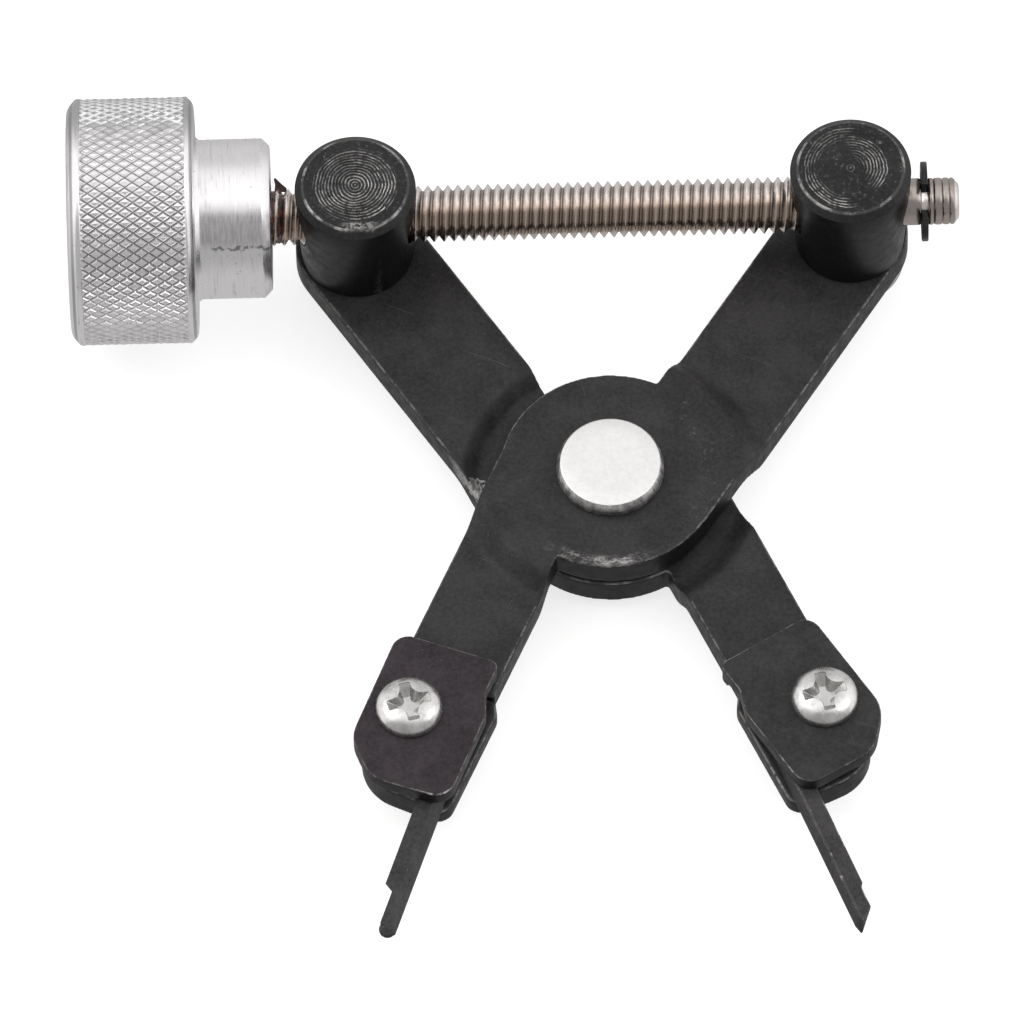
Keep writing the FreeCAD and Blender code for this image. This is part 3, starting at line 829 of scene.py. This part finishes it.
def nose_cutter(side, centre, angle_deg, along):
    """What rounding takes off a clamp plate's inner nose corner, along mm down the plate from its screw."""
    radius, across, low, high = 1.5, -5.15, 4.9, 6.8
    angle = math.radians(angle_deg)
    corner = Vector((along, across))
    to_shoulder, to_nose = Vector((-1, 0)), Vector((0.3, 5.7)).normalized()
    inward = (to_shoulder + to_nose).normalized()
    half = to_shoulder.angle(to_nose) / 2
    hub = corner + inward * radius / math.sin(half)
    ends = [corner + way * radius / math.tan(half) for way in (to_nose, to_shoulder)]
    loop = [
        corner + to_nose * 1.6 - to_shoulder * 0.4,
        corner - inward,
        corner + to_shoulder * 1.6 - to_nose * 0.4,
    ]
    start = math.atan2(*reversed(ends[1] - hub))
    sweep = math.atan2(*reversed(ends[0] - hub)) - start
    sweep = (sweep + math.pi) % (2 * math.pi) - math.pi
    for step in range(13):
        turn = start + sweep * step / 12
        loop.append(hub + Vector((math.cos(turn), math.sin(turn))) * radius)
    bm = bmesh.new()
    rings = []
    for height in (low, high):
        ring = []
        for point in loop:
            x = point.x * math.sin(angle) + point.y * math.cos(angle)
            y = point.x * math.cos(angle) - point.y * math.sin(angle)
            ring.append(bm.verts.new(Vector((centre.x + side * x * MM, centre.y - y * MM, height * MM))))
        bm.faces.new(ring)
        rings.append(ring)
    wall(bm, *rings)
    return finish_mesh(bm, "nose")


def pressed(node, voxel_mm, offset=0.0, cutters=()):
    """Piece with the soft edges of pressed steel, made from its CAD shape."""
    piece = link(node + "_pressed", bpy.data.meshes.new_from_object(NODES[node]))
    carve(piece, cutters)
    drop_custom_normals(piece.data)
    add_weld(piece)
    skin = piece.modifiers.new("skin", "REMESH")
    skin.mode = "VOXEL"
    skin.voxel_size = voxel_mm * MM
    applied(piece)
    if offset:
        soft_joggle(piece.data, offset)
    soft = piece.modifiers.new("soft", "SMOOTH")
    soft.factor = 0.5
    soft.iterations = 9
    thin = piece.modifiers.new("thin", "DECIMATE")
    thin.ratio = 0.45
    piece.data.shade_smooth()
    return piece


# ---- knob, screw, sealant

GRIP_RIMS = (0.95, 0.62)
KNURL_DEPTH, KNURL_STARTS, KNURL_ANGLE = 0.24, 74, 35
KNOB_HUB_R = 5.6


def knob_body(rng):
    """Turned knob with its grip left plain under the knurl, and tool marks on its hub."""
    core = GRIP_R - KNURL_DEPTH - 0.03
    left, right = GRIP_RIMS
    grip_left = [
        (0, 0.25), (0.35, 0), (0.9, 0), (1.0, 0.04), (1.1, 0), (3.4, 0), (3.5, 0.03), (3.6, 0),
        (GRIP_R - 0.75, 0), (GRIP_R, 0.62), (GRIP_R, left), (GRIP_R - 0.14, left + 0.06), (core, left + 0.2),
    ]
    grip_right = [
        (core, -right - 0.2), (GRIP_R - 0.14, -right - 0.06), (GRIP_R, -right), (GRIP_R, -0.5),
        (GRIP_R - 0.5, 0), (KNOB_HUB_R + 0.25, 0), (KNOB_HUB_R, 0.3),
    ]
    hub_face = [
        (KNOB_HUB_R, -0.6), (KNOB_HUB_R - 0.05, -0.5), (KNOB_HUB_R - 0.52, -0.04), (KNOB_HUB_R - 0.62, 0),
        (3.3, 0), (3.1, -0.12), (2.06, -0.12), (2.0, -0.6), (0, -0.6),
    ]
    outline = raised(grip_left, KNOB_END) + raised(grip_right, KNOB_SHOULDER)
    outline = rounded_profile(outline, {8: 0.35, 9: 0.35, 10: 0.1, 15: 0.1, 16: 0.35, 17: 0.35})
    place = KNOB_SHOULDER + 0.3
    while place < HUB_END - 0.8:
        outline.append((KNOB_HUB_R - rng.uniform(0.0, 0.022), place))
        place += rng.uniform(0.07, 0.16)
    bm = bmesh.new()
    lathe(bm, outline + raised(hub_face, HUB_END), along_screw(), 192)
    bmesh.ops.recalc_face_normals(bm, faces=bm.faces)
    return bm


def knurl_skin(rng):
    """Diamonds between two families of crossing grooves, each with a slightly uneven top."""
    bm = bmesh.new()
    matrix = along_screw()
    low, high = KNOB_END + GRIP_RIMS[0] + 0.02, KNOB_SHOULDER - GRIP_RIMS[1] - 0.02
    pitch = 2 * math.pi * GRIP_R / KNURL_STARTS / math.tan(math.radians(KNURL_ANGLE))

    def lattice(u, v, sink):
        """Point where u and v count the grooves of the two families, sink mm under the crests."""
        angle = (u + v) / 2 * 2 * math.pi / KNURL_STARTS
        return bm.verts.new(matrix @ polar(angle, GRIP_R - sink, low + (u - v) / 2 * pitch))

    reach = math.ceil((high - low) / pitch) + 1
    for total in range(0, 2 * KNURL_STARTS):
        for offset in range(-2, 2 * reach + 1):
            if (total + offset) % 2:
                continue
            u, v = (total + offset) / 2, (total - offset) / 2
            top = 0.60 + rng.uniform(-0.08, 0.06)
            lift = rng.uniform(0.0, 0.04)
            near, far = 0.5 - top / 2, 0.5 + top / 2
            outer = [lattice(u + a, v + b, KNURL_DEPTH) for a, b in ((0, 0), (1, 0), (1, 1), (0, 1))]
            inner = [lattice(u + a, v + b, lift + 0.045)
                     for a, b in ((near, near), (far, near), (far, far), (near, far))]
            tip = lattice(u + 0.5, v + 0.5, lift)
            for corner in range(4):
                after = (corner + 1) % 4
                bm.faces.new((outer[corner], outer[after], inner[after], inner[corner]))
                bm.faces.new((inner[corner], inner[after], tip))
    bmesh.ops.remove_doubles(bm, verts=bm.verts, dist=1e-6)
    trim(bm, low, high)
    bmesh.ops.recalc_face_normals(bm, faces=bm.faces)
    skin = bpy.data.meshes.new("knurl")
    bm.to_mesh(skin)
    bm.free()
    return skin


def knurled_knob():
    """Knob with a diamond-knurled grip between plain rims, and a turned hub."""
    rng = random.Random(4)
    bm = knob_body(rng)
    bm.from_mesh(knurl_skin(rng))
    return link("thumb_knob_grip", to_mesh(bm, "thumb_knob_grip", 20))


def thread(bm):
    """M4 by 0.7 right-hand helix from THREAD_START to THREAD_END."""
    matrix = along_screw()
    pitch, minor, steps = 0.7, 1.6, 64
    across = [
        (0.0, minor), (0.07, minor), (0.16, minor + 0.1), (0.40, THREAD_R - 0.06), (0.46, THREAD_R - 0.01),
        (0.54, THREAD_R - 0.01), (0.60, THREAD_R - 0.06), (0.84, minor + 0.1), (0.93, minor), (1.0, minor),
    ]
    turns = math.ceil((THREAD_END - THREAD_START) / pitch) + 2
    columns = []
    for row in range(turns * steps + 1):
        angle = 2 * math.pi * row / steps
        base = THREAD_START - pitch + pitch * row / steps
        # local Y runs the other way round the axis, so a right-hand thread has falling angles
        columns.append([
            bm.verts.new(matrix @ polar(-angle, radius, base + share * pitch)) for share, radius in across])
    for first, second in zip(columns, columns[1:]):
        wall(bm, first, second, closed=False)
    bmesh.ops.remove_doubles(bm, verts=bm.verts, dist=1e-7)
    trim(bm, THREAD_START, THREAD_END)


def journal_outline():
    """Plain journal, clip groove, and a stub with shallow ring marks, as (radius, x) points."""
    rng = random.Random(9)
    radius, groove = 1.65, 1.25
    outline = [(0, THREAD_END - 0.3), (1.5, THREAD_END - 0.3), (1.5, THREAD_END), (radius, THREAD_END)]
    place = THREAD_END + 0.4
    while place < CLIP_START - 0.65:
        outline.append((radius - rng.uniform(0, 0.012), place))
        place += rng.uniform(0.2, 0.4)
    before = [(radius, -0.55), (radius, -0.15), (radius - 0.06, -0.05), (groove + 0.04, 0), (groove, 0.05)]
    after = [(groove, -0.04), (groove + 0.04, 0), (radius - 0.07, 0.04), (radius - 0.02, 0.1)]
    ring = [
        (radius, -0.16), (radius - 0.02, -0.08), (radius - 0.085, 0), (radius - 0.02, 0.08),
        (radius - 0.004, 0.16),
    ]
    tip = [(radius - 0.01, -0.45), (radius - 0.05, -0.38), (1.22, -0.04), (1.12, 0), (0, 0)]
    for points, level in (
        (before, CLIP_START), (after, CLIP_END), (ring, 23.12), (ring, 23.72), (ring, 24.22),
        (tip, SCREW_END),
    ):
        outline += raised(points, level)
    return outline


def threaded_rod():
    bm = bmesh.new()
    thread(bm)
    lathe(bm, journal_outline(), along_screw(), 72)
    bmesh.ops.recalc_face_normals(bm, faces=bm.faces)
    return link("lead_screw_thread", to_mesh(bm, "lead_screw_thread", 40))


def sealant_sleeve(bm):
    """Uneven sleeve that fills the first turns of the thread beside the knob."""
    rng = random.Random(21)
    matrix = along_screw()
    around, across = 72, 14
    start, mean_end = HUB_END + 0.03, -22.45
    waves = [(rng.uniform(0, 6.28), rng.uniform(0.6, 1.0), n) for n in (2, 3, 5, 9)]
    rows = []
    for i in range(around):
        angle = 2 * math.pi * i / around
        swell = sum(weight * math.sin(n * angle + phase) / n for phase, weight, n in waves)
        end = mean_end + 0.3 * swell
        row = []
        for k in range(across):
            share = k / (across - 1)
            taper = min(1.0, (1 - share) * 4)
            radius = 1.55 + (0.26 + 0.07 * swell + rng.uniform(-0.05, 0.05)) * taper
            row.append(bm.verts.new(matrix @ polar(-angle, radius, start + (end - start) * share)))
        rows.append(row)
    for first, second in zip(rows, rows[1:] + rows[:1]):
        wall(bm, first, second, closed=False)


def sealant_flake(bm):
    """Thin flake that stands up from the sleeve on the near side."""
    matrix = along_screw()
    outward, aside, half_thick = Vector((0.498, -0.867)), Vector((0.867, 0.498)), 0.07
    outline = [
        (-22.98, 1.80), (-22.93, 2.30), (-23.02, 2.72), (-22.90, 2.78), (-22.50, 2.38), (-22.12, 2.04),
        (-22.15, 1.75),
    ]
    sides = []
    for shift in (-half_thick, half_thick):
        side = []
        for x, radius in outline:
            point = outward * radius + aside * shift
            side.append(bm.verts.new(matrix @ (Vector((point.x, point.y, x)) * MM)))
        bm.faces.new(side)
        sides.append(side)
    wall(bm, sides[1], sides[0])


def dried_sealant():
    bm = bmesh.new()
    sealant_sleeve(bm)
    sealant_flake(bm)
    return link("sealant_ring", finish_mesh(bm, "sealant_ring", 40))


# ---- posts, rivet, clamp screws

POST_R, SHANK_R = 4.25, 2.5
SCREW_BORE_R, JOURNAL_BORE_R, DRILL_REACH = 2.05, 1.70, 60
POST_SHAPE = {
    "threaded_swivel_post": {"base": 3.95, "bores": ((SCREW_BORE_R, -DRILL_REACH, 0),)},
    "plain_swivel_post": {
        "base": 3.8, "bores": ((JOURNAL_BORE_R, 0, DRILL_REACH), (SCREW_BORE_R, 0, THREAD_END + 0.05))},
}
PLAIN_POST_DROPS = (0.02, 0.012, 0.015, 0.01, 0.015, 0.01, 0.012, 0.015, 0.03, 0.035, 0.03, 0.02)


def ringed_face(top):
    """Deep turned rings from the centre out, as (radius, height) points."""
    rng = random.Random(3)
    points = [(0.0, top - 0.03)]
    radius = POST_RING_PITCH * 0.25
    while radius < 2.9:
        drop = rng.uniform(0.04, 0.07)
        crest = rng.uniform(0.0, 0.012)
        for share, sink in ((0, crest), (0.3, drop * 0.7), (0.5, drop), (0.7, drop * 0.7)):
            points.append((radius + POST_RING_PITCH * share, top - sink))
        radius += POST_RING_PITCH
    return points


def nib_face(top):
    """Centre nib and shallow rings, as (radius, height) points."""
    points = raised([(0.0, -0.01), (0.12, -0.015), (0.2, -0.07), (0.34, -0.06), (0.44, -0.005)], top)
    for count, drop in enumerate(PLAIN_POST_DROPS, 3):
        radius = (count + 0.25) * POST_RING_PITCH
        points += raised([(radius, 0), (radius + 0.07, -drop), (radius + 0.14, 0)], top)
    return points


def post(node):
    """Tapered post with a marked face and a peened shank, drilled for the screw."""
    low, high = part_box(node)
    base_r, peen, top = POST_SHAPE[node]["base"], low.z / MM, high.z / MM
    base, wall_top = ARM_TOP + RUNNING_GAP, top - 0.55
    profile = raised([(0, 0), (2.75, 0), (3.0, 0.1), (3.1, 0.3), (3.1, 0.5), (SHANK_R, 0.5)], peen)
    profile += raised([(SHANK_R, 0), (base_r - 0.08, 0), (base_r, 0.08)], base)
    for share in (0.25, 0.5, 0.75):
        profile.append((base_r + (POST_R - base_r) * share, base + (wall_top - base) * share))
    profile += raised([(POST_R - 0.01, -0.05), (POST_R - 0.03, 0.06)], wall_top)
    face = ringed_face(top) if node == "threaded_swivel_post" else nib_face(top)
    profile += raised([(3.76, -0.06), (3.69, -0.012), (3.62, 0)], top) + list(reversed(face))
    bm = bmesh.new()
    lathe(bm, profile, upright((low + high) / 2), 160)
    piece = link(node + "_turned", finish_mesh(bm, node + "_turned"))
    carve(piece, [drill(*bore) for bore in POST_SHAPE[node]["bores"]])
    return piece


def rivet():
    """Rivet with a plain lower head and a thicker, softly rounded upper head."""
    low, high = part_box("pivot_rivet")
    radius, thick = 3.75, 1.1
    lower = [(0, 0), (3.45, 0), (3.68, 0.12), (radius, 0.3), (radius, thick), (SHANK_R, thick)]
    upper = [
        (SHANK_R, -thick), (radius - 0.1, -thick), (radius, -thick + 0.1), (radius, -0.62),
        (radius - 0.03, -0.5), (radius - 0.22, -0.08), (radius - 0.27, -0.02), (radius - 0.34, 0),
        (2.2, 0), (0, 0),
    ]
    bm = bmesh.new()
    lathe(bm, raised(lower, low.z / MM) + raised(upper, high.z / MM), Matrix(), 160)
    return link("pivot_rivet_turned", finish_mesh(bm, "pivot_rivet_turned", 50))


CROSS_LOBE = (
    (0.62, -0.62), (0.86, -0.46), (1.12, -0.41), (1.46, -0.43), (1.55, -0.3), (1.55, 0.3), (1.46, 0.43),
    (1.12, 0.41), (0.86, 0.46),
)
CLAMP_SCREW_HEAD = (
    (2.22, 0), (2.33, 0.06), (2.35, 0.16), (2.33, 0.3), (2.26, 0.5), (2.13, 0.7), (1.94, 0.88), (1.7, 1.02),
    (1.4, 1.13), (1.0, 1.22), (0.5, 1.28),
)
CROSS_TURN = 13


def cross_cutter(centre, top):
    """Tapered cross with flared lobes, narrower towards its foot."""
    bm = bmesh.new()
    loops = []
    for height, reach, width in ((top + 0.3, 1.05, 1.05), (top - 0.3, 0.97, 0.95), (top - 1.0, 0.5, 0.55)):
        loop = []
        for lobe in range(4):
            angle = math.radians(CROSS_TURN + 90 * lobe)
            outward = Vector((math.cos(angle), math.sin(angle), 0))
            aside = Vector((-outward.y, outward.x, 0))
            for along, half in CROSS_LOBE:
                flat = outward * along * reach + aside * half * width
                loop.append(bm.verts.new(Vector((centre.x, centre.y, 0)) + (flat + Z_AXIS * height) * MM))
        loops.append(loop)
    for upper, lower in zip(loops, loops[1:]):
        wall(bm, upper, lower)
    bm.faces.new(loops[0])
    bm.faces.new(loops[-1])
    return finish_mesh(bm, "cross")


def clamp_screw(node):
    """Pan head screw with a cross recess and a plain shank."""
    low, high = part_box(node)
    centre, foot, top = (low + high) / 2, low.z / MM, high.z / MM
    head = top - 1.3
    shank = [(0, foot), (1.1, foot), (1.25, foot + 0.15), (1.25, head)]
    bm = bmesh.new()
    lathe(bm, shank + raised(CLAMP_SCREW_HEAD, head) + [(0, top)], upright(centre), 96)
    piece = link(node + "_cross", finish_mesh(bm, node + "_cross", 40))
    carve(piece, [cross_cutter(centre, top)])
    return piece


# ---- build

def make_arms():
    black = black_steel("arm_oxide", 0.028, worn=arm_wear, rubbed_and_highlight=0.6)
    for node, offset in (("upper_arm", HUB_OFFSET), ("lower_arm", -HUB_OFFSET)):
        place_piece(pressed(node, 0.12, offset), black, node, node)


def make_clamp_plates():
    plum = black_steel(
        "clamp_oxide_plum", 0.027, worn=nose_wear((-12.8, -25.6, 6.3), 1.2, 0.95), warm=0.8, rubbed_and_highlight=0.6)
    grey = black_steel("clamp_oxide_grey", 0.028, worn=nose_wear((11.9, -23.9, 6.35), 0.7, 0.3), rubbed_and_highlight=0.8)
    for hand, black, side, angle, along in (("left", plum, -1, 22.7, 5.7), ("right", grey, 1, 33.0, 5.0)):
        nose = nose_cutter(side, centre_of(hand + "_clamp_screw"), angle, along)
        node = hand + "_clamp_plate"
        place_piece(pressed(node, 0.085, cutters=[nose]), black, hand + "_clamp", node)


def make_clamp_screws():
    for node, arm in (("left_clamp_screw", "upper_arm"), ("right_clamp_screw", "lower_arm")):
        place_piece(clamp_screw(node), screw_zinc(node), arm, node)


def dress_cad_pieces():
    """Claws, washers and clip keep their CAD shape."""
    claw = black_steel("claw_oxide", 0.042, rough=0.4)
    claw_edge = black_steel("claw_oxide_edge", 0.065, edge=0.3, rough=0.35)
    for node in ("left_claw", "right_claw"):
        dress(node, claw, 0.13, claw_edge)
    washer = washer_steel()
    for node in ("threaded_post_washer", "plain_post_washer"):
        dress(node, washer, 0.08)
    dress("retaining_clip", black_steel("clip_spring_black", 0.025, rough=0.3), 0.07)


def make_posts():
    for node, body in (("threaded_swivel_post", "threaded_post"), ("plain_swivel_post", "plain_post")):
        wear = post_wear(centre_of(node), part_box(node)[1].z / MM, node == "threaded_swivel_post")
        black = black_steel(node + "_oxide", 0.018, rough=0.36, worn=wear)
        place_piece(post(node), black, body, node)


def make_thumb_screw():
    # the second colour is painted shade for the knurl grooves
    aluminium = turned_metal(
        "knob_aluminium", (0.90, 0.895, 0.90), 0.27, 0.16, 0.02, (8.40, 8.49, 8.2, 0.7), (0.26, 0.255, 0.26),
        knob_marks)
    # the second colour is painted shade for the thread roots
    stainless = turned_metal(
        "screw_stainless", (0.89, 0.845, 0.82), 0.22, 0.1, 0.008, (1.6, 1.84, 1.5, 0.75), (0.20, 0.155, 0.13),
        screw_marks)
    place_piece(knurled_knob(), aluminium, "thumb_screw", "thumb_knob")
    place_piece(threaded_rod(), stainless, "thumb_screw", "lead_screw")
    place_piece(dried_sealant(), sealant_material(), "thumb_screw", "thread_sealant")


def main():
    make_camera()
    make_floor()
    make_light()
    make_arms()
    make_clamp_plates()
    dress_cad_pieces()
    make_posts()
    place_piece(rivet(), rivet_metal(), "upper_arm", "pivot_rivet")
    make_clamp_screws()
    make_thumb_screw()


main()
